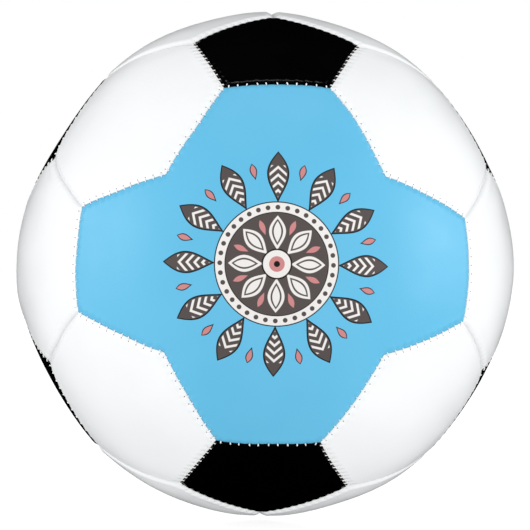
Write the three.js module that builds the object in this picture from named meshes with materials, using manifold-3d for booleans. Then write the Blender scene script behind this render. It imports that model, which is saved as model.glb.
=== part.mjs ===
// A sewn football (soccer ball), size 5, in the classic layout of twelve pentagons and twenty
// hexagons. Two hexagons and two pentagons on the front are one large printing panel shaped like
// a broad cross, so the cover has 29 pieces: 18 white hexagons, 10 black pentagons and the
// printing panel. Inside lies a thin hollow rubber bladder with a valve that comes out through
// the middle of a white hexagon on the back.
//
// Millimetres, +Z up. The printing panel faces -Y. The origin is the middle of the small flat
// patch on which the ball rests.

import * as THREE from "three";
import { mergeVertices } from "three/addons/utils/BufferGeometryUtils.js";
import Module from "manifold-3d";

// ---- driving dimensions, mm ----
const R_COVER = 110; // radius of the sphere through the panels' corners: 691 mm round
const COVER = 3.0; // cover and lining together
const SEAM_GAP = 0.4; // clearance between two neighbouring panels
const ROLL = 3.2; // width of the rolled edge beside a seam
const DROP = 1.1; // how far the rolled edge falls at the seam
const REST_HALF = 12; // half the width of the patch pressed flat by the ball's weight
const BLADDER_GAP = 0.8; // between the lining and the bladder
const BLADDER_WALL = 1.2;
const VALVE_R = 4.0; // rubber plug seen in the panel's hole
const VALVE_CLEAR = 0.4;
const VALVE_FLANGE_R = 8.0;
const VALVE_DIMPLE_R = 1.6; // funnel that guides the needle
// how flat the cover lies: 0 follows the sphere, 1 is a flat polygon, below 0 stands proud
const FLAT_PENTAGON = 0.66; // in the middle of a pentagon
const FLAT_HEXAGON = -0.05; // in the middle of a hexagon
const FLAT_SEAM_56 = 0.2; // along a seam between a pentagon and a hexagon
const FLAT_SEAM_66 = -0.35; // along a seam between two hexagons
const FLAT_PRINT = 0.12;
const OVAL = 0.0065; // share by which the filled ball is taller, and narrower from side to side
// where the filled ball stands proud or lies low: degrees up from +X towards +Z, mm, degrees wide
const UNEVEN = [[146, -1.8, 14], [90, 1.3, 8.5], [188, 1.1, 6], [240, -1.2, 10], [293, -1.1, 11], [10, 0.6, 6], [347, 0.6, 6]];
const SEAM_REACH = 0.09; // rad; how far a seam lifts or lowers the panel beside it
const PRINT_BLEND = 120; // how softly the printing panel passes from one face to the next
// mesh steps
const PER_SIDE = 4;
const PANEL_RINGS = [0.36, 0.7]; // shares of the way from the rolled edge to the middle
const PRINT_RINGS = [0.2, 0.4, 0.6, 0.8];
const BLADDER_DETAIL = 3;

// ---- materials ----
const look = (color, roughness) =>
  new THREE.MeshStandardMaterial({ color, roughness, metalness: 0 });
const WHITE = look(0xf4f5f6, 0.38);
const BLACK = look(0x060607, 0.28);
const BLUE = look(0x72c7ee, 0.42);
const RUBBER = look(0x2a2422, 0.75);
const VALVE = look(0x1a1a1b, 0.6);

// ---- the layout: an icosahedron with its corners cut off ----
const PHI = (1 + Math.sqrt(5)) / 2;
const corners = [];
for (const a of [-1, 1])
  for (const b of [-1, 1])
    corners.push(
      new THREE.Vector3(a, b * PHI, 0),
      new THREE.Vector3(0, a, b * PHI),
      new THREE.Vector3(a * PHI, 0, b),
    );
const near = (a, b) => Math.abs(a.distanceTo(b) - 2) < 1e-6;
const seamCorner = (i, j) =>
  corners[i].clone().multiplyScalar(2).add(corners[j]).divideScalar(3).normalize();

// Corners sorted counter-clockwise round a direction, seen from outside.
function around(n, points) {
  const x = points[0].clone().addScaledVector(n, -points[0].dot(n)).normalize();
  const y = n.clone().cross(x);
  const angle = (p) => Math.atan2(p.dot(y), p.dot(x));
  return [...points].sort((p, q) => angle(p) - angle(q));
}

const faces = [];
for (let i = 0; i < 12; i++) {
  const points = [];
  for (let j = 0; j < 12; j++) if (j !== i && near(corners[i], corners[j])) points.push(seamCorner(i, j));
  const n = corners[i].clone().normalize();
  faces.push({ sides: 5, n, loop: around(n, points), key: new Set([i]) });
}
for (let i = 0; i < 12; i++)
  for (let j = i + 1; j < 12; j++)
    for (let k = j + 1; k < 12; k++)
      if (near(corners[i], corners[j]) && near(corners[j], corners[k]) && near(corners[i], corners[k])) {
        const n = corners[i].clone().add(corners[j]).add(corners[k]).normalize();
        const points = [[i, j], [j, i], [j, k], [k, j], [i, k], [k, i]].map(([a, b]) => seamCorner(a, b));
        faces.push({ sides: 6, n, loop: around(n, points) });
      }
for (const f of faces) f.h = f.n.dot(f.loop[0]); // how far out the flat polygon lies, of 1
// The four faces nearest the front make the printing panel.
const FRONT = new THREE.Vector3(0, -1, 0);
const byFront = [...faces].sort((a, b) => b.n.dot(FRONT) - a.n.dot(FRONT));
const printFaces = byFront.slice(0, 4);
const single = faces.filter((f) => !printFaces.includes(f));

// A panel is its outline, its middle, how far out its flat face or faces lie in a direction,
// and how flat it is in its middle.
const same = (p, q) => p.distanceTo(q) < 1e-6;
const sidesOf = (f) => f.loop.map((p, i) => [p, f.loop[(i + 1) % f.loop.length]]);
const flatRadius = (f, u) => f.h / u.dot(f.n);
const printFlat = (u) => {
  let sum = 0;
  for (const f of printFaces) sum += Math.exp(-PRINT_BLEND * (flatRadius(f, u) - 1));
  return Math.min(1 - Math.log(sum) / PRINT_BLEND, 1);
};
// The printing panel's outline: the four faces' sides that no two of them share, end to end.
const all = printFaces.flatMap(sidesOf);
const open = all.filter(([a, b]) => !all.some(([c, d]) => same(a, d) && same(b, c)));
const outline = [open[0]];
while (outline.length < open.length) outline.push(open.find(([a]) => same(a, outline.at(-1)[1])));
const printPanel = { loop: outline.map(([a]) => a), n: FRONT, flat: printFlat, middle: FLAT_PRINT };
for (const f of single) {
  f.flat = (u) => flatRadius(f, u);
  f.middle = f.sides === 5 ? FLAT_PENTAGON : FLAT_HEXAGON;
}

// A seam between a pentagon and a hexagon lies lower than one between two hexagons.
const pentagons = faces.filter((f) => f.sides === 5);
for (const panel of [printPanel, ...single])
  panel.seams = sidesOf(panel).map(([a, b]) => ({
    a,
    b,
    inward: a.clone().cross(b).normalize(),
    height: pentagons.some((f) => sidesOf(f).some(([c, d]) => (same(a, c) && same(b, d)) || (same(a, d) && same(b, c))))
      ? FLAT_SEAM_56
      : FLAT_SEAM_66,
  }));

// ---- the surface, as a radius for each direction ----
const turn = (degrees) => (degrees * Math.PI) / 180;
const swell = (u) => UNEVEN.reduce((sum, [angle, mm, wide]) =>
  sum + mm * Math.exp((u.x * Math.cos(turn(angle)) + u.z * Math.sin(turn(angle)) - 1) / (1 - Math.cos(turn(wide)))), 0);
const oval = (u) => 1 + OVAL * (u.z ** 4 - u.x ** 4) + swell(u) / R_COVER;
function seamDistance({ a, b, inward }, u) {
  const onwards = inward.clone().cross(a);
  const along = Math.min(Math.max(Math.atan2(u.dot(onwards), u.dot(a)), 0), a.angleTo(b));
  return u.distanceTo(a.clone().multiplyScalar(Math.cos(along)).addScaledVector(onwards, Math.sin(along)));
}
const coverRadius = (panel, u) => {
  let share = 0.12, sum = share * panel.middle;
  for (const seam of panel.seams) {
    const k = Math.exp(-seamDistance(seam, u) / SEAM_REACH);
    share += k;
    sum += k * seam.height;
  }
  return R_COVER * oval(u) * (1 - (sum / share) * (1 - panel.flat(u)));
};
const bladderRadius = (u) => {
  let flat = 9;
  for (const f of faces) if (u.dot(f.n) > 0.5) flat = Math.min(flat, flatRadius(f, u));
  return R_COVER * oval(u) * (1 - FLAT_PENTAGON * (1 - flat)) - COVER - BLADDER_GAP;
};

// ---- a panel: a closed plate over a loop of great arcs ----
// Samples of the loop moved inwards by d mm: along each side's own inward normal, and at a
// corner by as much from both sides.
function inset(loop, d) {
  const delta = d / R_COVER, out = [], n = loop.length;
  const inward = loop.map((p, i) => p.clone().cross(loop[(i + 1) % n]).normalize());
  for (let i = 0; i < n; i++) {
    const a = loop[i], b = loop[(i + 1) % n], q = inward[i], before = inward[(i + n - 1) % n];
    const sweep = a.angleTo(b);
    const x = Math.tan(delta) / (1 + q.dot(before));
    out.push(a.clone().addScaledVector(q, x).addScaledVector(before, x).normalize());
    for (let k = 1; k < PER_SIDE; k++) {
      const t = k / PER_SIDE;
      const p = a.clone().multiplyScalar(Math.sin((1 - t) * sweep)).addScaledVector(b, Math.sin(t * sweep)).normalize();
      out.push(p.multiplyScalar(Math.cos(delta)).addScaledVector(q, Math.sin(delta)));
    }
  }
  return out;
}

function plate(loop, middle, radius, shares) {
  const edge = inset(loop, SEAM_GAP / 2), rolled = inset(loop, ROLL), n = edge.length;
  const at = (u, drop) => u.clone().multiplyScalar(radius(u) - drop);
  const towards = (ring, t) => ring.map((u) => u.clone().lerp(middle, t).normalize());
  const outer = [edge.map((u) => at(u, DROP)), rolled.map((u) => at(u, 0))];
  for (const t of shares) outer.push(towards(rolled, t).map((u) => at(u, 0)));
  const inner = [edge.map((u) => at(u, COVER))];
  for (const t of shares.filter((_, i) => i % 2)) inner.push(towards(edge, t).map((u) => at(u, COVER)));
  const position = [];
  const put = (...points) => points.forEach((p) => position.push(p.x, p.y, p.z));
  const strip = (a, b) => {
    for (let i = 0; i < n; i++) {
      const j = (i + 1) % n;
      put(a[i], a[j], b[j], a[i], b[j], b[i]);
    }
  };
  const fan = (ring, tip, out) => {
    for (let i = 0; i < n; i++) {
      const j = (i + 1) % n;
      out ? put(ring[i], ring[j], tip) : put(ring[j], ring[i], tip);
    }
  };
  for (let k = 0; k + 1 < outer.length; k++) strip(outer[k], outer[k + 1]);
  fan(outer.at(-1), at(middle, 0), true);
  for (let k = 0; k + 1 < inner.length; k++) strip(inner[k + 1], inner[k]);
  fan(inner.at(-1), at(middle, COVER), false);
  strip(inner[0], outer[0]);
  const g = new THREE.BufferGeometry();
  g.setAttribute("position", new THREE.Float32BufferAttribute(position, 3));
  return mergeVertices(g, 1e-3);
}

// ---- booleans ----
const wasm = await Module();
wasm.setup();
function solid(geometry) {
  const g = (geometry.index ? geometry.toNonIndexed() : geometry.clone());
  g.deleteAttribute("normal");
  g.deleteAttribute("uv");
  const m = mergeVertices(g, 1e-3);
  return new wasm.Manifold(new wasm.Mesh({
    numProp: 3,
    vertProperties: m.attributes.position.array,
    triVerts: new Uint32Array(m.index.array),
  }));
}
function geometryOf(s) {
  const m = s.getMesh(), n = m.numProp, v = new Float32Array(m.numVert * 3);
  for (let i = 0; i < m.numVert; i++) v.set(m.vertProperties.subarray(i * n, i * n + 3), i * 3);
  const g = new THREE.BufferGeometry();
  g.setAttribute("position", new THREE.BufferAttribute(v, 3));
  g.setIndex(new THREE.BufferAttribute(new Uint32Array(m.triVerts), 1));
  return g;
}

// ---- the ball's centre stands over the rest patch ----
const UNDER = new THREE.Vector3(0, 0, -1);
const restFace = single.filter((f) => f.sides === 6).sort((a, b) => a.n.z - b.n.z)[0];
const underRadius = coverRadius(restFace, UNDER);
const CENTRE_Z = Math.sqrt(underRadius ** 2 - REST_HALF ** 2);
const floorBlock = new THREE.BoxGeometry(120, 120, 20).translate(0, 0, -CENTRE_Z - 10);

// A cylinder or lathe along a direction from the centre.
const turnedTo = (g, n) =>
  g.applyQuaternion(new THREE.Quaternion().setFromUnitVectors(new THREE.Vector3(0, 1, 0), n));

// ---- assembly ----
const ball = new THREE.Group();
ball.position.set(0, 0, CENTRE_Z);
const add = (name, geometry, material) => {
  const mesh = new THREE.Mesh(geometry, material);
  mesh.name = name;
  ball.add(mesh);
  return mesh;
};

add("panel_print", plate(printPanel.loop, FRONT, (u) => coverRadius(printPanel, u), PRINT_RINGS), BLUE);

// The valve comes out of the upper hexagon on the back.
const valveFace = single.filter((f) => f.sides === 6 && f.n.z > 0).sort((a, b) => b.n.y - a.n.y)[0];

// Panels are numbered from the front to the back, and from the top down where they are level.
const order = (a, b) => Math.round((a.n.y - b.n.y) * 1e3) || Math.round((b.n.z - a.n.z) * 1e3) || a.n.x - b.n.x;
const count = { 5: 0, 6: 0 };
for (const f of [...single].sort(order)) {
  const number = String(++count[f.sides]).padStart(2, "0");
  let g = plate(f.loop, f.n, (u) => coverRadius(f, u), PANEL_RINGS);
  if (f === valveFace) {
    const hole = turnedTo(new THREE.CylinderGeometry(VALVE_R + VALVE_CLEAR, VALVE_R + VALVE_CLEAR, 30, 16).translate(0, R_COVER, 0), f.n);
    g = geometryOf(solid(g).subtract(solid(hole)));
  }
  if (f.n.z < -0.9) g = geometryOf(solid(g).subtract(solid(floorBlock)));
  add((f.sides === 5 ? "panel_black_" : "panel_white_") + number, g, f.sides === 5 ? BLACK : WHITE);
}

// The bladder: a thin shell close under the lining, open where the valve passes through it.
const shell = new THREE.IcosahedronGeometry(1, BLADDER_DETAIL);
shell.deleteAttribute("normal");
shell.deleteAttribute("uv");
const skin = mergeVertices(shell, 1e-4);
const scaled = (take) => {
  const g = skin.clone(), p = g.attributes.position, u = new THREE.Vector3();
  for (let i = 0; i < p.count; i++) {
    u.fromBufferAttribute(p, i).normalize();
    u.multiplyScalar(bladderRadius(u) - take);
    p.setXYZ(i, u.x, u.y, u.z);
  }
  return g;
};
const stemHole = turnedTo(new THREE.CylinderGeometry(VALVE_R + VALVE_CLEAR, VALVE_R + VALVE_CLEAR, 30, 16).translate(0, R_COVER - 6, 0), valveFace.n);
add("bladder", geometryOf(solid(scaled(0)).subtract(solid(scaled(BLADDER_WALL))).subtract(solid(stemHole))), RUBBER);

// The valve: a turned rubber plug with a needle funnel in its face, a flange inside the bladder
// and a tapered body.
const face = coverRadius(valveFace, valveFace.n) - 0.2;
const flangeTop = bladderRadius(valveFace.n) - BLADDER_WALL - 1.2;
const profile = [
  [0, face - 1.2], [0.5, face - 1.2], [VALVE_DIMPLE_R, face], [VALVE_R - 0.4, face], [VALVE_R, face - 0.4],
  [VALVE_R, flangeTop], [VALVE_FLANGE_R, flangeTop - 0.3], [VALVE_FLANGE_R, flangeTop - 1.5],
  [VALVE_R, flangeTop - 2], [VALVE_R - 0.8, flangeTop - 8], [0, flangeTop - 8],
].map(([r, y]) => new THREE.Vector2(r, y)).reverse();
add("valve", turnedTo(new THREE.LatheGeometry(profile, 16), valveFace.n), VALVE);

export default ball;
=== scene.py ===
import math

import bpy
import numpy as np
from mathutils import Matrix, Vector


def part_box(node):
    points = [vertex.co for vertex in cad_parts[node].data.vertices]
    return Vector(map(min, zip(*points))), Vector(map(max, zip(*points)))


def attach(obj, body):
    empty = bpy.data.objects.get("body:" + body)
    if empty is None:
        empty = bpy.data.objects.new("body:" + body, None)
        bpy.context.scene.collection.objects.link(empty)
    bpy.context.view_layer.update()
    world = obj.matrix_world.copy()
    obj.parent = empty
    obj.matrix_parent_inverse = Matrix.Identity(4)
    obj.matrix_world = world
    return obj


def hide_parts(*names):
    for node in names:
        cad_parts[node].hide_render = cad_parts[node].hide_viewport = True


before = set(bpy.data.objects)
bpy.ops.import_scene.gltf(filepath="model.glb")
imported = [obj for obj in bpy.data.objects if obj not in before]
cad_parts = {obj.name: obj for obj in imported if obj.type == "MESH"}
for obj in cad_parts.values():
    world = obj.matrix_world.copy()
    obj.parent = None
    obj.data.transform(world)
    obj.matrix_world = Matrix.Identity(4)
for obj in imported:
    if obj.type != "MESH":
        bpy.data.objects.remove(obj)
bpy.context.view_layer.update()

# ---------------------------------------------------------------- sizes, mm (the solids' own)
MM = 0.001
R_COVER = 110.0
COVER = 3.0
REST_HALF = 12.0
FLAT_PENTAGON, FLAT_HEXAGON, FLAT_PRINT = 0.66, -0.05, 0.12
OVAL = 0.0065
FLAT_SEAM_56, FLAT_SEAM_66 = 0.2, -0.35
# where the filled ball stands proud or lies low: degrees up from +X towards +Z, mm, degrees wide
UNEVEN = [(146, -1.8, 14), (90, 1.3, 8.5), (188, 1.1, 6), (240, -1.2, 10), (293, -1.1, 11), (10, 0.6, 6), (347, 0.6, 6)]
SEAM_REACH = 0.09
PRINT_BLEND = 120.0
VALVE_R, VALVE_CLEAR = 4.0, 0.4

# ---------------------------------------------------------------- the seam, mm
GAP_HALF = 0.025       # half of the slit between two panels
ROLL = 3.3             # width of the rolled edge
DROP = 0.95            # its fall at the slit
BEND = {"white": 1.7, "print": 1.9, "black": 2.3}   # how much of the fall lies close to the slit
ROUND = 1.25           # 1/mm; how sharply two rolled edges meet at a panel's corner
STITCHES = 12          # on each side of a white panel
STITCHES_DARK = 11     # where a black panel meets the printed one
PUCKER = 0.26          # how far a stitch pulls the roll in
WAVES = 0.10           # unevenness of a panel's surface
# where the sewing draws the seams out of the regular layout: degrees round from the front and up, mm to the right and up
DRAWN = [(-25, -19, 0.4, -1.1), (-21, -30, 0.7, 0.3), (-15, -41, -0.3, -2.4), (0, -42, 0, 0.5), (15, -41, -0.3, -1.8),
         (21, -30, -0.6, 0.2), (25, -19, 1.6, -0.1), (48, 0, 1.5, 0), (48, 12, -0.8, -1.1), (37, 16, 0.2, 0.5), (25, 19, 0.6, 0.6),
         (15, 41, -0.2, 2.1), (-15, 41, -0.3, 1.4), (-21, 30, 2.0, -0.7), (-25, 19, -1.6, -0.1), (-48, 12, 0.7, -0.5),
         (-48, 0, -0.5, 0), (-48, -12, 0.4, 0.6), (-39, -59, -1.2, -0.8), (-25, -50, -0.6, 0.5), (-39, 59, 1.2, -0.9),
         (25, -50, -0.5, -0.4), (39, 59, 1.5, 1.1)]
DRAWN_REACH = 16.0

# ---------------------------------------------------------------- the layout
PHI = (1 + math.sqrt(5)) / 2


def unit(v):
    return v / np.linalg.norm(v, axis=-1, keepdims=True)


V = np.array([c for a in (-1, 1) for b in (-1, 1)
              for c in ((a, b * PHI, 0), (0, a, b * PHI), (a * PHI, 0, b))], float)
near = lambda i, j: abs(np.linalg.norm(V[i] - V[j]) - 2) < 1e-6
cut = lambda i, j: unit(V[i] * 2 + V[j])


def round_order(n, points):
    points = np.array(points)
    x = unit(points[0] - n * (points[0] @ n))
    y = np.cross(n, x)
    return points[np.argsort(np.arctan2(points @ y, points @ x))]


FACES = []
for i in range(12):
    n = unit(V[i])
    FACES.append({"n": n, "loop": round_order(n, [cut(i, j) for j in range(12) if j != i and near(i, j)])})
for i in range(12):
    for j in range(i + 1, 12):
        for k in range(j + 1, 12):
            if near(i, j) and near(j, k) and near(i, k):
                n = unit(V[i] + V[j] + V[k])
                FACES.append({"n": n, "loop": round_order(n, [cut(a, b) for a, b in ((i, j), (j, i), (j, k), (k, j), (i, k), (k, i))])})
for f in FACES:
    f["h"] = float(f["n"] @ f["loop"][0])

FRONT = np.array([0.0, -1.0, 0.0])
FACES.sort(key=lambda f: -round(float(f["n"] @ FRONT), 6))
PRINT_FACES, SINGLE = FACES[:4], FACES[4:]

same = lambda p, q: np.linalg.norm(p - q) < 1e-6
sides = lambda f: [(f["loop"][i], f["loop"][(i + 1) % len(f["loop"])]) for i in range(len(f["loop"]))]
every = [s for f in PRINT_FACES for s in sides(f)]
free = [(a, b) for a, b in every if not any(same(a, d) and same(b, c) for c, d in every)]
outline = [free[0]]
while len(outline) < len(free):
    outline.append(next(s for s in free if same(s[0], outline[-1][1])))

PANELS = [{"n": FRONT, "loop": np.array([a for a, b in outline]), "flats": PRINT_FACES, "middle": FLAT_PRINT, "kind": "print"}]
for f in SINGLE:
    five = len(f["loop"]) == 5
    PANELS.append({"n": f["n"], "loop": f["loop"], "flats": [f], "middle": FLAT_PENTAGON if five else FLAT_HEXAGON,
                   "kind": "black" if five else "white"})

PENTAGON_SIDES = [s for f in FACES if len(f["loop"]) == 5 for s in sides(f)]
for p in PANELS:
    a = p["loop"]
    b = np.roll(a, -1, axis=0)
    p["a"], p["b"] = a, b
    p["q"] = unit(np.cross(a, b))
    p["on"] = np.cross(p["q"], a)
    p["sweep"] = np.arccos(np.clip((a * b).sum(1), -1, 1))
    p["five"] = np.array([any((same(x, c) and same(y, d)) or (same(x, d) and same(y, c)) for c, d in PENTAGON_SIDES)
                          for x, y in zip(a, b)])
    p["height"] = np.where(p["five"], FLAT_SEAM_56, FLAT_SEAM_66)

# The ball's centre, over the patch it rests on.
lo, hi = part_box("panel_print")
CENTRE = np.array([0.0, 0.0, (lo[2] + hi[2]) / 2 / MM])

# Each panel's node is the one whose box lies in its direction.
names = [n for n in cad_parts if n.startswith("panel_") and n != "panel_print"]
middles = {}
for name in names:
    lo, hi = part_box(name)
    middles[name] = unit((np.array(lo) + np.array(hi)) / 2 / MM - CENTRE)
PANELS[0]["node"] = "panel_print"
for p in PANELS[1:]:
    p["node"] = max((n for n in names if n.startswith("panel_" + p["kind"])), key=lambda n: float(middles[n] @ p["n"]))

up_back = [p for p in PANELS if p["kind"] == "white" and p["n"][2] > 0.01]
VALVE_PANEL = max(up_back, key=lambda p: round(float(p["n"][1]), 6))


def kind_across(p, i):
    """The kind of panel on the other side of side i."""
    a, b = p["a"][i], p["b"][i]
    for o in PANELS:
        if o is not p:
            for x, y in zip(o["a"], o["b"]):
                if same(a, y) and same(b, x):
                    return o
    return None


# A seam between two white panels is drawn so tight that its thread doesn't show.
for p in PANELS:
    p["across"] = [kind_across(p, i) for i in range(len(p["a"]))]
    p["count"] = np.array([STITCHES if "white" in (p["kind"], o["kind"]) else STITCHES_DARK for o in p["across"]])
    p["holes"] = np.array([1.0 if "print" in (p["kind"], o["kind"]) else 0.0 if p["kind"] == o["kind"] == "white" else 0.3 for o in p["across"]])
    p["shown"] = np.array([0.0 if p["kind"] == o["kind"] == "white" else 1.0 for o in p["across"]])


# ---------------------------------------------------------------- the surface
def seam_distance(p, u):
    """Distance to each side and the place along it, rad."""
    along = np.clip(np.arctan2(u @ p["on"].T, u @ p["a"].T), 0, p["sweep"])
    foot = p["a"][None] * np.cos(along)[..., None] + p["on"][None] * np.sin(along)[..., None]
    return np.linalg.norm(u[:, None] - foot, axis=2), along


def swell(u):
    out = 0.0
    for angle, mm, wide in UNEVEN:
        a = math.radians(angle)
        out = out + mm * np.exp((u[:, 0] * math.cos(a) + u[:, 2] * math.sin(a) - 1) / (1 - math.cos(math.radians(wide))))
    return out


def cover_radius(p, u, d):
    k = np.exp(-d / SEAM_REACH)
    weight = (0.12 * p["middle"] + k @ p["height"]) / (0.12 + k.sum(1))
    if p["kind"] == "print":
        total = sum(np.exp(-PRINT_BLEND * (f["h"] / (u @ f["n"]) - 1)) for f in p["flats"])
        flat = np.minimum(1 - np.log(total) / PRINT_BLEND, 1)
    else:
        flat = p["flats"][0]["h"] / (u @ p["n"])
    return R_COVER * (1 + OVAL * (u[:, 2] ** 4 - u[:, 0] ** 4) + swell(u) / R_COVER) * (1 - weight * (1 - flat))


def waves(u, seed, size, count=7):
    """Smooth unevenness from -1 to 1 over the sphere; size is its wavelength in mm."""
    rng = np.random.default_rng(seed)
    out = np.zeros(len(u))
    for _ in range(count):
        k = unit(rng.normal(size=3)) * 2 * math.pi * R_COVER / (size * rng.uniform(0.7, 1.5))
        out += np.sin(u @ k + rng.uniform(0, 2 * math.pi))
    return out / math.sqrt(count)


def sewn(u):
    """The whole cover's slight pull out of true, the same for every panel, so that seams still meet."""
    shift = np.stack([waves(u, s, 38.0) for s in (11, 12, 13)], 1) * 0.30 + np.stack([waves(u, s, 13.0) for s in (21, 22, 23)], 1) * 0.07
    for round_deg, up_deg, right, up in DRAWN:
        a, b = math.radians(round_deg), math.radians(up_deg)
        at = np.array([math.sin(a) * math.cos(b), -math.cos(a) * math.cos(b), math.sin(b)])
        pull = right * np.array([math.cos(a), math.sin(a), 0]) + up * np.array([-math.sin(b) * math.sin(a), math.sin(b) * math.cos(a), math.cos(b)])
        shift += np.exp(-((u - at) ** 2).sum(1) / 2 * (R_COVER / DRAWN_REACH) ** 2)[:, None] * pull
    return unit(u + shift / R_COVER)


def surface(p, index, u):
    """Positions in mm about the centre, and the seam coordinates for the material."""
    d, along = seam_distance(p, u)
    radius = cover_radius(p, u, d)
    mm = d * R_COVER
    least = mm.min(1)
    soft = least - np.log(np.exp(-ROUND * (mm - least[:, None])).sum(1)) / ROUND
    x = np.clip(soft / ROLL, 0, 1)
    pull_in = np.exp(-(mm - least[:, None]) / 1.2)
    tight = 1 - (pull_in @ p["shown"]) / pull_in.sum(1)
    depth = (DROP + 0.32 * tight) * (1 - x) ** (BEND[p["kind"]] + 0.1 * tight)
    # stitches pull the rolled edge in, and the leather swells between them
    side = mm.argmin(1)
    rows = np.arange(len(u))
    s = along[rows, side] / p["sweep"][side] * p["count"][side]
    turn = 2 * math.pi * (s - 0.5)
    rng = np.random.default_rng(500 + index)
    pull = 1 + 0.35 * np.interp(s + side * STITCHES, np.arange(len(p["a"]) * STITCHES + 2), rng.uniform(-1, 1, len(p["a"]) * STITCHES + 2))
    shown = p["shown"][side]
    at = (0.5 + 0.5 * np.cos(turn)) ** 1.6 * (0.35 + 0.65 * shown)
    depth += PUCKER * pull * at * np.exp(-((least - 1.2) / 1.5) ** 2)
    depth -= 0.07 * (1 - at) * np.exp(-((least - 2.2) / 1.2) ** 2)
    # the swell inside the roll and the slight unevenness of the filling
    depth += 0.10 * np.exp(-((least - 6.0) / 3.0) ** 2) * (0.6 + 0.4 * waves(u, 900 + index, 16.0))
    depth += WAVES * waves(u, 700 + index, 30.0, 6) * (1 - np.exp(-least / 6.0)) * 0.5
    holes = p["holes"][side]
    return radius - depth, np.stack([np.cos(turn) * holes, np.sin(turn) * holes, least], 1), radius


def inset(p, d, per_side):
    """A ring d mm inside the outline."""
    delta = d / R_COVER
    q, before = p["q"], np.roll(p["q"], 1, axis=0)
    x = math.tan(delta) / (1 + (q * before).sum(1))
    corner = unit(p["a"] + (q + before) * x[:, None])
    start = np.arctan2((corner * p["on"]).sum(1), (corner * p["a"]).sum(1))
    nxt = np.roll(corner, -1, axis=0)
    end = np.arctan2((nxt * p["on"]).sum(1), (nxt * p["a"]).sum(1))
    t = np.arange(per_side) / per_side
    ang = start[:, None] + (end - start)[:, None] * t[None]
    g = p["a"][:, None] * np.cos(ang)[..., None] + p["on"][:, None] * np.sin(ang)[..., None]
    u = g * math.cos(delta) + q[:, None] * math.sin(delta)
    return unit(u.reshape(-1, 3))


# ---------------------------------------------------------------- making meshes
def new_mesh(name, verts, faces, material, smooth=True):
    mesh = bpy.data.meshes.new(name)
    mesh.from_pydata((np.asarray(verts) * MM).tolist(), [], faces)
    mesh.materials.append(material)
    if smooth:
        mesh.shade_smooth()
    mesh.update()
    obj = bpy.data.objects.new(name, mesh)
    bpy.context.scene.collection.objects.link(obj)
    return obj


class Skin:
    """Vertices and faces ring by ring, from the outline to the middle."""

    def __init__(self):
        self.v, self.f, self.extra, self.uv, self.count = [], [], [], [], 0

    def ring(self, points, extra, uv):
        start = self.count
        self.v.append(points)
        self.extra.append(extra)
        self.uv.append(uv)
        self.count += len(points)
        return np.arange(start, self.count)

    def strip(self, a, b, flip=False):
        """Faces from ring a to ring b, which lies inside it and has as many points or half as many."""
        n, m = len(a), len(b)
        if n == m:
            i = np.arange(n)
            j = (i + 1) % n
            quads = np.stack([a[i], a[j], b[j], b[i]], 1)
            self.f += [list(map(int, (r[::-1] if flip else r))) for r in quads]
        else:
            i = np.arange(m)
            j = (i + 1) % m
            for tri in (np.stack([a[2 * i], a[2 * i + 1], b[i]], 1), np.stack([a[2 * i + 1], b[j], b[i]], 1),
                        np.stack([a[2 * i + 1], a[(2 * i + 2) % n], b[j]], 1)):
                self.f += [list(map(int, (r[::-1] if flip else r))) for r in tri]

    def fan(self, ring, tip, flip=False):
        n = len(ring)
        for i in range(n):
            j = (i + 1) % n
            self.f.append([int(ring[j]), int(ring[i]), int(tip)] if flip else [int(ring[i]), int(ring[j]), int(tip)])


PER_SIDE = 96
EDGE_RINGS = [GAP_HALF, 0.12, 0.22, 0.36, 0.54, 0.74, 0.96, 1.2, 1.45, 1.7, 1.96, 2.24, 2.54, 2.86, 3.2, 3.6, 4.1]


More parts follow.
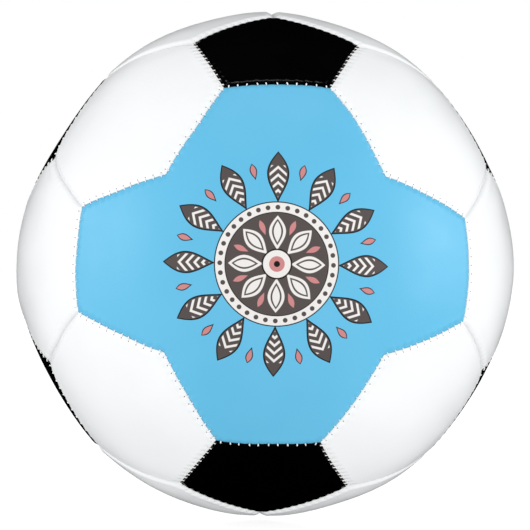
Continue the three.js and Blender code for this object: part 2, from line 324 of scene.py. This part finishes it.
def build_panel(p, index, material):
    kind, n = p["kind"], p["n"]
    hole = p is VALVE_PANEL
    skin = Skin()
    x_axis = unit(np.cross([0.3, 0.2, 1.0], n))
    y_axis = np.cross(n, x_axis)
    reach = np.arccos(np.clip(p["loop"] @ n, -1, 1)).max()

    def flat_uv(u, scale, at):
        ang = np.arccos(np.clip(u @ n, -1, 1))
        d = u - (u @ n)[:, None] * n
        length = np.maximum(np.linalg.norm(d, axis=1), 1e-9)
        k = ang / reach / length * scale
        return np.stack([at[0] + (d @ x_axis) * k, at[1] + (d @ y_axis) * k], 1)

    def put(u, lower=None, wall=0.0, uv=(0.485, (0.5, 0.5)), extra_depth=0.0):
        radius, seam, crown = surface(p, index, u)
        r = radius - extra_depth if lower is None else crown - lower
        pos = CENTRE + sewn(u) * r[:, None]
        pos[:, 2] = np.maximum(pos[:, 2], 0.0 if lower is None else 0.6)
        return skin.ring(pos, seam, flat_uv(u, *uv))

    rings = [inset(p, d, PER_SIDE) for d in EDGE_RINGS]
    inner_uv = (0.045, (0.055, 0.055))
    # outside, from the slit to the rolled edge's far side
    ids = [put(u) for u in rings]
    for a, b in zip(ids, ids[1:]):
        skin.strip(a, b)
    # on towards the middle, each time with half the points where they crowd
    base = rings[-1]
    rim = (VALVE_R + VALVE_CLEAR) / R_COVER if hole else 1.4 / R_COVER

    def towards(t, step):
        u = base[::step]
        d = u - (u @ n)[:, None] * n
        circle = math.cos(rim) * n + math.sin(rim) * unit(d)
        return unit(u + (circle - u) * t)

    big = kind == "print"
    steps = ([(t, 1) for t in (0.012, 0.03)] + [(t, 2) for t in (0.055, 0.085, 0.12)] if big else [(0.035, 1)] + [(t, 2) for t in (0.09, 0.16)])
    steps += [(t, 4) for t in (np.linspace(0.16, 0.5, 12) if big else (0.24, 0.33, 0.43))]
    steps += [(t, 8) for t in (np.linspace(0.53, 0.8, 9) if big else (0.53, 0.63, 0.73))]
    steps += [(t, 16) for t in (np.linspace(0.83, 0.99, 6) if big else (0.82, 0.9, 0.96))]
    if hole:
        steps = [(t, s) for t, s in steps if s <= 8] + [(t, 8) for t in (0.82, 0.9, 0.95, 0.975)]
    last = ids[-1]
    for t, step in steps:
        nxt = put(towards(t, step))
        skin.strip(last, nxt)
        last = nxt
    end_step = steps[-1][1]
    wall_depths = (1.0, 2.0, COVER)
    if hole:
        for t, dip in ((0.99, 0.08), (1.0, 0.32)):
            nxt = put(towards(t, end_step), extra_depth=dip)
            skin.strip(last, nxt)
            last = nxt
        for low in (1.4, COVER):
            nxt = put(towards(1.0, end_step), lower=low, uv=inner_uv)
            skin.strip(last, nxt)
            last = nxt
        mouth = last
    else:
        tip = put(n[None])
        skin.fan(last, tip[0])
    # the side, and the lining's face inside
    last = ids[0]
    for low in (1.6, 2.3, COVER):
        nxt = put(rings[0], lower=low, uv=(0.045 + 0.0015 * (4 - low), (0.055, 0.055)))
        skin.strip(last, nxt, flip=True)
        last = nxt
    for t, step in ((0.04, 2), (0.2, 4), (0.4, 8), (0.62, 8)) + (((0.82, 8),) if hole else ((0.82, 16),)):
        nxt = put(towards(t, step), lower=COVER, uv=inner_uv)
        skin.strip(last, nxt, flip=True)
        last = nxt
    if hole:
        skin.strip(last, mouth, flip=True)
    else:
        tip = put(n[None], lower=COVER, uv=inner_uv)
        skin.fan(last, tip[0], flip=True)

    obj = new_mesh("cover_" + p["node"][6:], np.concatenate(skin.v), skin.f, material)
    mesh = obj.data
    seam = mesh.attributes.new("seam", "FLOAT_VECTOR", "POINT")
    seam.data.foreach_set("vector", np.concatenate(skin.extra).astype(np.float32).ravel())
    layer = mesh.uv_layers.new(name="OFBake")
    loops = np.empty(len(mesh.loops), dtype=np.int32)
    mesh.loops.foreach_get("vertex_index", loops)
    layer.data.foreach_set("uv", np.concatenate(skin.uv).astype(np.float32)[loops].ravel())
    return obj


# ---------------------------------------------------------------- node helper
class Nodes:
    def __init__(self, name):
        self.mat = bpy.data.materials.new(name)
        self.mat.use_nodes = True
        self.nt = self.mat.node_tree
        self.nt.nodes.clear()
        self.out = self.nt.nodes.new("ShaderNodeOutputMaterial")
        self.bsdf = self.nt.nodes.new("ShaderNodeBsdfPrincipled")
        self.nt.links.new(self.bsdf.outputs[0], self.out.inputs[0])

    def put(self, socket, value):
        if isinstance(value, bpy.types.NodeSocket):
            self.nt.links.new(value, socket)
        elif value is not None:
            socket.default_value = value

    def math(self, op, a, b=None, c=None, clamp=False):
        n = self.nt.nodes.new("ShaderNodeMath")
        n.operation = op
        n.use_clamp = clamp
        for s, v in zip(n.inputs, (a, b, c)):
            self.put(s, v)
        return n.outputs[0]

    def add(self, a, b): return self.math("ADD", a, b)
    def sub(self, a, b): return self.math("SUBTRACT", a, b)
    def mul(self, a, b): return self.math("MULTIPLY", a, b)
    def less(self, a, b, soft):
        """1 where a < b, over a soft edge."""
        return self.math("ADD", self.math("DIVIDE", self.math("SUBTRACT", b, a), soft), 0.5, clamp=True)

    def mix(self, factor, a, b):
        n = self.nt.nodes.new("ShaderNodeMix")
        n.data_type = "RGBA"
        self.put(n.inputs[0], factor)
        self.put(n.inputs[6], a)
        self.put(n.inputs[7], b)
        return n.outputs[2]

    def coords(self):
        n = self.nt.nodes.new("ShaderNodeTexCoord")
        return n.outputs["Object"]

    def noise(self, scale, detail=2.0, rough=0.5, vector=None, distortion=0.0):
        n = self.nt.nodes.new("ShaderNodeTexNoise")
        n.inputs["Scale"].default_value = scale
        n.inputs["Detail"].default_value = detail
        n.inputs["Roughness"].default_value = rough
        n.inputs["Distortion"].default_value = distortion
        self.put(n.inputs["Vector"], vector or self.coords())
        return n.outputs["Fac"]

    def voronoi(self, scale, vector=None, feature="F1", out="Distance"):
        n = self.nt.nodes.new("ShaderNodeTexVoronoi")
        n.feature = feature
        n.inputs["Scale"].default_value = scale
        self.put(n.inputs["Vector"], vector or self.coords())
        return n.outputs[out]

    def split(self, vector):
        n = self.nt.nodes.new("ShaderNodeSeparateXYZ")
        self.put(n.inputs[0], vector)
        return n.outputs

    def attribute(self, name):
        n = self.nt.nodes.new("ShaderNodeAttribute")
        n.attribute_name = name
        return n.outputs["Vector"]

    def range(self, value, a, b, c, d):
        n = self.nt.nodes.new("ShaderNodeMapRange")
        for s, v in zip(n.inputs, (value, a, b, c, d)):
            self.put(s, v)
        return n.outputs[0]

    def bump(self, height, strength, distance, normal=None):
        n = self.nt.nodes.new("ShaderNodeBump")
        n.inputs["Strength"].default_value = strength
        n.inputs["Distance"].default_value = distance
        self.put(n.inputs["Height"], height)
        if normal is not None:
            self.put(n.inputs["Normal"], normal)
        return n.outputs[0]

    def finish(self, color=None, rough=None, normal=None, **fixed):
        if color is not None:
            self.put(self.bsdf.inputs["Base Color"], color)
        if rough is not None:
            self.put(self.bsdf.inputs["Roughness"], rough)
        if normal is not None:
            self.put(self.bsdf.inputs["Normal"], normal)
        for k, v in fixed.items():
            self.bsdf.inputs[k.replace("_", " ")].default_value = v
        return self.mat


def srgb(r, g, b):
    f = lambda c: c / 12.92 if c <= 0.04045 else ((c + 0.055) / 1.055) ** 2.4
    return (f(r / 255), f(g / 255), f(b / 255), 1.0)


# ---------------------------------------------------------------- materials
def cover_parts(m, at=1.22):
    """Seam coordinates, the needle holes and the grain that all three cover materials share."""
    c, s, d = m.split(m.attribute("seam"))
    # place along the seam from the nearest stitch, mm
    pitch = 44.7 / STITCHES
    off = m.mul(m.math("ARCTAN2", s, c), pitch / (2 * math.pi))
    shown = m.math("SQRT", m.add(m.mul(c, c), m.mul(s, s)))
    # needle-hole mask: a dent in the bump, and where the materials paint the holes' shade
    hole = m.math("SQRT", m.add(m.math("POWER", off, 2.0), m.math("POWER", m.sub(d, at), 2.0)))
    hole = m.mul(m.less(hole, 0.25, 0.16), shown)
    # mask within 0.3 mm of the slit, for painted shade in the seam's groove
    groove_shade = m.less(d, 0.3, 0.4)
    pebble = m.voronoi(1350.0, feature="SMOOTH_F1")
    fine = m.noise(2600.0, 2.0)
    crease = m.noise(420.0, 3.0, 0.6, distortion=0.6)
    near_seam = m.less(d, 3.2, 3.6)
    grain = m.add(m.add(m.mul(pebble, -0.7), m.mul(fine, 0.35)), m.mul(m.mul(crease, near_seam), 1.1))
    grain = m.sub(grain, m.mul(hole, 2.6))
    return hole, groove_shade, grain, near_seam, d


def white_material():
    m = Nodes("white_cover")
    hole, groove_shade, grain, near_seam, d = cover_parts(m)
    c, s, _ = m.split(m.attribute("seam"))
    tone = m.noise(24.0, 3.0)
    base = m.mix(m.range(tone, 0.35, 0.7, 0.0, 1.0), srgb(243, 245, 246), srgb(239, 241, 243))
    shown = m.math("SQRT", m.add(m.mul(c, c), m.mul(s, s)))
    # painted highlight: the white turns brighter along its rolled edge beside the black and printed panels
    base = m.mix(m.mul(m.less(d, 1.8, 1.6), m.mul(shown, 0.8)), base, srgb(253, 254, 254))
    # painted shade: a soft grey line along the tight seams between two white panels
    base = m.mix(m.mul(m.mul(m.less(d, 0.8, 1.2), m.less(shown, 0.15, 0.2)), 0.5), base, srgb(222, 223, 225))
    # painted shade: each needle hole is a dark, reddish dot
    base = m.mix(m.mul(hole, 0.95), base, srgb(112, 84, 84))
    rough = m.range(m.noise(90.0, 3.0), 0.3, 0.7, 0.34, 0.44)
    normal = m.bump(grain, 0.22, 0.00022)
    return m.finish(base, rough, normal, Specular_IOR_Level=0.4, Coat_Weight=0.45, Coat_Roughness=0.06, Coat_IOR=1.2)


def black_material():
    m = Nodes("black_cover")
    hole, groove_shade, grain, near_seam, d = cover_parts(m)
    tone = m.noise(30.0, 3.0)
    base = m.mix(m.range(tone, 0.35, 0.7, 0.0, 1.0), (0.0007, 0.0007, 0.0008, 1), (0.0013, 0.0013, 0.0014, 1))
    rough = m.range(m.noise(90.0, 3.0), 0.3, 0.7, 0.14, 0.21)
    normal = m.bump(grain, 0.16, 0.0002)
    return m.finish(base, rough, normal, Specular_IOR_Level=0.38)


def print_material():
    m = Nodes("printed_cover")
    hole, groove_shade, grain, near_seam, d = cover_parts(m, 0.85)
    x, y, z = m.split(m.coords())
    x = m.mul(x, 1000.0)
    z = m.mul(m.sub(z, float(CENTRE[2]) * MM), 1000.0)
    r = m.math("SQRT", m.add(m.mul(x, x), m.mul(z, z)))
    theta = m.math("ARCTAN2", z, x)
    dark, pale = srgb(88, 79, 77), srgb(234, 231, 228)
    pink, ink = srgb(206, 132, 132), srgb(34, 30, 30)
    soft = 0.16

    def fold(count, offset=0.0):
        """Coordinates along and across the nearest of count arms."""
        turn = m.math("FRACT", m.math("ADD", m.mul(theta, count / (2 * math.pi)), 20.5 + offset))
        phi = m.mul(m.sub(turn, 0.5), 2 * math.pi / count)
        return m.mul(r, m.math("COSINE", phi)), m.math("ABSOLUTE", m.mul(r, m.math("SINE", phi)))

    def petal(p, q, start, end, half, power):
        t = m.math("DIVIDE", m.sub(p, start), end - start, clamp=True)
        width = m.mul(m.math("SINE", m.mul(m.math("POWER", t, power), math.pi)), half)
        return m.sub(q, m.sub(width, 0.25))

    tone = m.noise(18.0, 2.0)
    color = m.mix(m.range(tone, 0.35, 0.65, 0.0, 1.0), srgb(91, 187, 227), srgb(96, 190, 230))

    def paint(mask, tint):
        nonlocal color
        color = m.mix(mask, color, tint)

    def ringed(radius, half, tint):
        paint(m.less(m.math("ABSOLUTE", m.sub(r, radius)), half, soft), tint)

    # twelve long outer petals, banded across, with small drops between them
    p, q = fold(12)
    edge = petal(p, q, 23.5, 45.5, 4.7, 1.25)
    paint(m.less(edge, 0.0, soft), ink)
    paint(m.less(edge, -0.55, soft), dark)
    bands = m.math("FRACT", m.mul(m.add(p, m.mul(q, 0.9)), 1 / 3.1))
    bands = m.less(m.math("ABSOLUTE", m.sub(bands, 0.5)), 0.2, 0.07)
    bands = m.mul(bands, m.less(edge, -1.0, soft))
    bands = m.mul(bands, m.less(p, 39.5, soft))
    paint(bands, pale)
    p, q = fold(12, 0.5)
    edge = petal(p, q, 33.5, 41.5, 1.7, 1.4)
    paint(m.less(edge, 0.0, soft), ink)
    paint(m.less(edge, -0.4, soft), pink)
    # a ring of beads
    ringed(22.6, 2.3, ink)
    ringed(22.6, 1.85, pale)
    p, q = fold(36)
    bead = m.math("SQRT", m.add(m.math("POWER", m.sub(p, 22.6), 2.0), m.math("POWER", q, 2.0)))
    paint(m.less(bead, 0.95, soft), dark)
    # eight inner petals on a dark ground, and an eye
    paint(m.less(r, 20.4, soft), dark)
    p, q = fold(8)
    edge = petal(p, q, 5.0, 19.6, 3.6, 1.15)
    paint(m.less(edge, 0.0, soft), pale)
    paint(m.less(edge, -1.15, soft), dark)
    paint(m.less(edge, -1.85, soft), pale)
    p, q = fold(8, 0.5)
    edge = petal(p, q, 11.5, 19.0, 1.35, 1.3)
    paint(m.less(edge, 0.0, soft), pink)
    paint(m.less(r, 6.1, soft), ink)
    paint(m.less(r, 5.5, soft), pale)
    paint(m.less(r, 3.1, soft), pink)
    paint(m.less(r, 1.2, soft), ink)

    # painted shade: a darker teal line along the printed panel's edge at the slit
    color = m.mix(m.mul(groove_shade, 0.6), color, srgb(58, 136, 168))
    # painted shade: the needle holes darken the blue
    color = m.mix(m.mul(hole, 0.35), color, srgb(50, 110, 138))
    rough = m.range(m.noise(90.0, 3.0), 0.3, 0.7, 0.40, 0.5)
    normal = m.bump(grain, 0.2, 0.0002)
    return m.finish(color, rough, normal, Specular_IOR_Level=0.55)


def thread_material():
    m = Nodes("waxed_thread")
    tone = m.noise(900.0, 2.0)
    base = m.mix(m.range(tone, 0.35, 0.65, 0.0, 1.0), srgb(252, 252, 250), srgb(242, 241, 238))
    return m.finish(base, m.range(tone, 0.3, 0.7, 0.5, 0.65), m.bump(m.noise(5000.0, 2.0), 0.3, 0.0001), Sheen_Weight=0.15)


def rubber_material(name, tint, rough):
    m = Nodes(name)
    tone = m.noise(60.0, 3.0)
    base = m.mix(m.range(tone, 0.35, 0.65, 0.0, 1.0), tint, tuple(c * 1.5 for c in tint[:3]) + (1,))
    return m.finish(base, m.range(m.noise(500.0, 2.0), 0.3, 0.7, rough - 0.06, rough + 0.06), m.bump(m.noise(1800.0, 3.0), 0.25, 0.0001), Specular_IOR_Level=0.4)


WHITE, BLACK, PRINT = white_material(), black_material(), print_material()
THREAD = thread_material()
BLADDER = rubber_material("bladder_rubber", (0.03, 0.022, 0.019, 1), 0.75)
VALVE = rubber_material("valve_rubber", (0.012, 0.012, 0.013, 1), 0.55)

# ---------------------------------------------------------------- the panels
MATERIAL = {"white": WHITE, "black": BLACK, "print": PRINT}
for index, p in enumerate(PANELS):
    p["index"] = index
    piece = build_panel(p, index, MATERIAL[p["kind"]])
    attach(piece, "root")
    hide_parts(p["node"])


# ---------------------------------------------------------------- the thread
def tubes(paths, radii, around, twist):
    """Closed round tubes, one for each path: paths is (count, points, 3), with the outward direction of each."""
    verts, faces = [], []
    for (path, outward), radius in zip(paths, radii):
        tangent = unit(np.gradient(path, axis=0))
        sideways = unit(np.cross(tangent, outward[None]))
        normal = np.cross(sideways, tangent)
        start = sum(len(v) for v in verts)
        m = len(path)
        ang = np.arange(around) / around * 2 * math.pi
        for i in range(m):
            lay = 1 + 0.13 * np.abs(np.cos(1.5 * (ang + twist * i)))
            ends = 0.55 if i in (0, m - 1) else 1.0
            verts.append(path[i] + radius * ends * lay[:, None] * (np.cos(ang)[:, None] * sideways[i] + np.sin(ang)[:, None] * normal[i]))
        j = np.arange(around)
        k = (j + 1) % around
        for i in range(m - 1):
            a, b = start + i * around, start + (i + 1) * around
            faces += np.stack([a + j, b + j, b + k, a + k], 1).tolist()
        faces.append((start + j).tolist())
        faces.append((start + (m - 1) * around + j)[::-1].tolist())
    return np.concatenate(verts), faces


def arm(p, other):
    """A stitch's reach over panel p, mm."""
    if p["kind"] == "print":
        return 0.3 if other["kind"] == "black" else 0.75
    return 0.75 if p["kind"] == "black" else 0.9


rng = np.random.default_rng(77)
seen, groups = [], {"white": [], "print": [], "black": []}
for p in PANELS:
    for i in range(len(p["a"])):
        other = p["across"][i]
        key = sorted([p["index"], other["index"]]) + [round(float(x), 4) for x in p["a"][i] + p["b"][i]]
        if key in seen:
            continue
        seen.append(key)
        plain = p["kind"] == "white" and other["kind"] == "white"
        group = "white" if plain else "print" if "print" in (p["kind"], other["kind"]) else "black"
        count = p["count"][i]
        for s in range(count):
            t = (s + 0.5 + rng.uniform(-0.07, 0.07)) / count * p["sweep"][i]
            foot = p["a"][i] * math.cos(t) + p["on"][i] * math.sin(t)
            lean = rng.uniform(-0.16, 0.16)
            v = np.linspace(-1, 1, 11)
            # how far the stitch reaches over each of the two panels
            reach = [arm(p, other), arm(other, p)]
            across = np.where(v > 0, v * reach[0], v * reach[1]) * rng.uniform(0.92, 1.08)
            u = unit(foot[None] + (p["q"][i][None] * across[:, None] + p["on"][i][None] * (v * lean)[:, None]) / R_COVER)
            d, _ = seam_distance(p, foot[None])
            crown = cover_radius(p, foot[None], d)[0]
            bend = np.where(v > 0, BEND[p["kind"]], BEND[other["kind"]])
            fall = DROP * (1 - np.clip(np.abs(across) / ROLL, 0, 1)) ** bend + 0.5 * PUCKER
            fall = np.minimum(fall, 0.66) - (-1.1 if plain else 0.14 if group == "print" else 0.06) + 0.5 * np.abs(v) ** 6
            groups[group].append((CENTRE + sewn(u) * (crown - fall)[:, None], foot))

for group, paths in groups.items():
    verts, faces = tubes(paths, rng.uniform(0.24, 0.29, len(paths)) * (0.88 if group == "black" else 1), 10, 0.9)
    verts[:, 2] = np.maximum(verts[:, 2], 0.0)
    piece = new_mesh("stitches_" + group, verts, faces, THREAD)
    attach(piece, "root")

# ---------------------------------------------------------------- the valve
n = VALVE_PANEL["n"]
top = float(np.linalg.norm(n * R_COVER * (1 - FLAT_HEXAGON * (1 - VALVE_PANEL["flats"][0]["h"])))) - 0.35
profile = [(0.0, -1.25), (0.28, -1.22), (0.42, -1.05), (0.62, -0.82), (0.95, -0.5), (1.3, -0.2), (1.55, -0.04), (1.8, 0.02),
           (2.2, 0.03), (2.35, -0.02), (2.45, -0.09), (2.6, -0.09), (2.7, -0.02), (2.85, 0.03), (3.4, 0.0), (3.7, -0.06),
           (3.88, -0.2), (3.97, -0.42), (4.0, -0.8), (4.0, -2.2), (4.0, -4.2), (3.9, -4.4), (3.5, -4.45), (0.0, -4.5)]
around = 64
sx = unit(np.cross([0.3, 0.2, 1.0], n))
sy = np.cross(n, sx)
ang = np.arange(around) / around * 2 * math.pi
circle = np.cos(ang)[:, None] * sx + np.sin(ang)[:, None] * sy
verts, faces = [], []
for r, y in profile[1:-1]:
    verts.append(CENTRE + n * (top + y) + circle * r)
verts.append((CENTRE + n * (top + profile[0][1]))[None])
verts.append((CENTRE + n * (top + profile[-1][1]))[None])
rows = len(profile) - 2
j = np.arange(around)
k = (j + 1) % around
for i in range(rows - 1):
    a, b = i * around, (i + 1) * around
    faces += np.stack([a + j, b + j, b + k, a + k], 1).tolist()
faces += [[rows * around, int(x), int(y)] for x, y in zip(j, k)]
last = (rows - 1) * around
faces += [[rows * around + 1, last + int(y), last + int(x)] for x, y in zip(j, k)]
valve = new_mesh("valve_plug", np.concatenate(verts), faces, VALVE)
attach(valve, "root")
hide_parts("valve")

# the bladder lies under the cover, seen only through the slits
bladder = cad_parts["bladder"]
bladder = bladder if hasattr(bladder, "data") else bpy.data.objects["bladder"]
bladder.data.materials.clear()
bladder.data.materials.append(BLADDER)

# ---------------------------------------------------------------- floor
mesh = bpy.data.meshes.new("floor")
size = 60.0
mesh.from_pydata([(-size, -size, 0), (size, -size, 0), (size, size, 0), (-size, size, 0)], [], [[0, 1, 2, 3]])
floor = bpy.data.objects.new("floor", mesh)
bpy.context.scene.collection.objects.link(floor)
paper = Nodes("paper_floor")
mesh.materials.append(paper.finish(paper.mix(paper.noise(3.0, 3.0), (0.3, 0.3, 0.302, 1), (0.32, 0.32, 0.32, 1)), 0.9, Specular_IOR_Level=0.0,
                                   Emission_Color=(1, 1, 1, 1), Emission_Strength=0.86))
floor.location.z = -0.0002
floor.visible_glossy = False
floor.visible_diffuse = False

# ---------------------------------------------------------------- light
scene = bpy.context.scene
world = bpy.data.worlds.new("studio")
scene.world = world
world.use_nodes = True
nt = world.node_tree
back = nt.nodes["Background"]
path = nt.nodes.new("ShaderNodeLightPath")
sky = nt.nodes.new("ShaderNodeTexCoord")
parts = nt.nodes.new("ShaderNodeSeparateXYZ")
nt.links.new(sky.outputs["Generated"], parts.inputs[0])
fade = nt.nodes.new("ShaderNodeMapRange")
for name, value in (("From Min", 0.0), ("From Max", 1.0), ("To Min", 1.0), ("To Max", 0.67)):
    fade.inputs[name].default_value = value
nt.links.new(parts.outputs["Z"], fade.inputs["Value"])
level = nt.nodes.new("ShaderNodeMix")
nt.links.new(path.outputs["Is Camera Ray"], level.inputs[0])
front = nt.nodes.new("ShaderNodeMapRange")
for name, value in (("From Min", -1.0), ("From Max", 1.0), ("To Min", 1.27), ("To Max", 0.8)):
    front.inputs[name].default_value = value
nt.links.new(parts.outputs["Y"], front.inputs["Value"])
both = nt.nodes.new("ShaderNodeMath")
both.operation = "MULTIPLY"
nt.links.new(fade.outputs[0], both.inputs[0])
nt.links.new(front.outputs[0], both.inputs[1])
under = nt.nodes.new("ShaderNodeMapRange")
for name, value in (("From Min", -1.0), ("From Max", -0.3), ("To Min", 0.84), ("To Max", 1.0)):
    under.inputs[name].default_value = value
nt.links.new(parts.outputs["Z"], under.inputs["Value"])
whole = nt.nodes.new("ShaderNodeMath")
whole.operation = "MULTIPLY"
nt.links.new(both.outputs[0], whole.inputs[0])
nt.links.new(under.outputs[0], whole.inputs[1])
nt.links.new(whole.outputs[0], level.inputs[2])
level.inputs[3].default_value = 1.0
nt.links.new(level.outputs[0], back.inputs["Strength"])
back.inputs["Color"].default_value = (1, 1, 1, 1)
world.cycles_visibility.glossy = False


def softbox(name, position, size, power, tint=(1, 1, 1)):
    light = bpy.data.lights.new(name, "AREA")
    light.shape = "RECTANGLE"
    light.size, light.size_y = size
    light.energy = power
    light.color = tint
    obj = bpy.data.objects.new(name, light)
    obj.location = position
    aim = Vector((0, 0, 0.11)) - Vector(position)
    obj.rotation_euler = aim.to_track_quat("-Z", "Y").to_euler()
    scene.collection.objects.link(obj)
    return obj


softbox("left", (-1.98, -0.3, 0.35), (0.9, 1.3), 11.0)
softbox("right", (1.98, -0.3, 0.3), (0.9, 1.3), 14.4)
softbox("over", (0.0, -0.5, 1.95), (1.6, 0.15), 3.2)

scene.view_settings.view_transform = "Standard"
scene.view_settings.look = "None"

# ---------------------------------------------------------------- camera
R_FIT = 109.15 * MM
distance = 8.91 * R_FIT
turn = (Matrix.Rotation(math.radians(2.4), 4, "Z") @ Matrix.Rotation(math.radians(1.31), 4, "Y")
        @ Matrix.Rotation(math.radians(-0.2), 4, "X"))
base = Matrix.Translation((0, -distance, 0)) @ Matrix.Rotation(math.radians(90), 4, "X") @ Matrix.Rotation(0.3 / 2180, 4, "Y")
data = bpy.data.cameras.new("camera")
data.sensor_width = 36.0
data.lens = 2180 / 530 * 36.0
data.clip_start, data.clip_end = 0.05, 60.0
camera = bpy.data.objects.new("camera", data)
scene.collection.objects.link(camera)
camera.matrix_world = Matrix.Translation(Vector(CENTRE) * MM) @ turn.transposed() @ base
scene.camera = camera
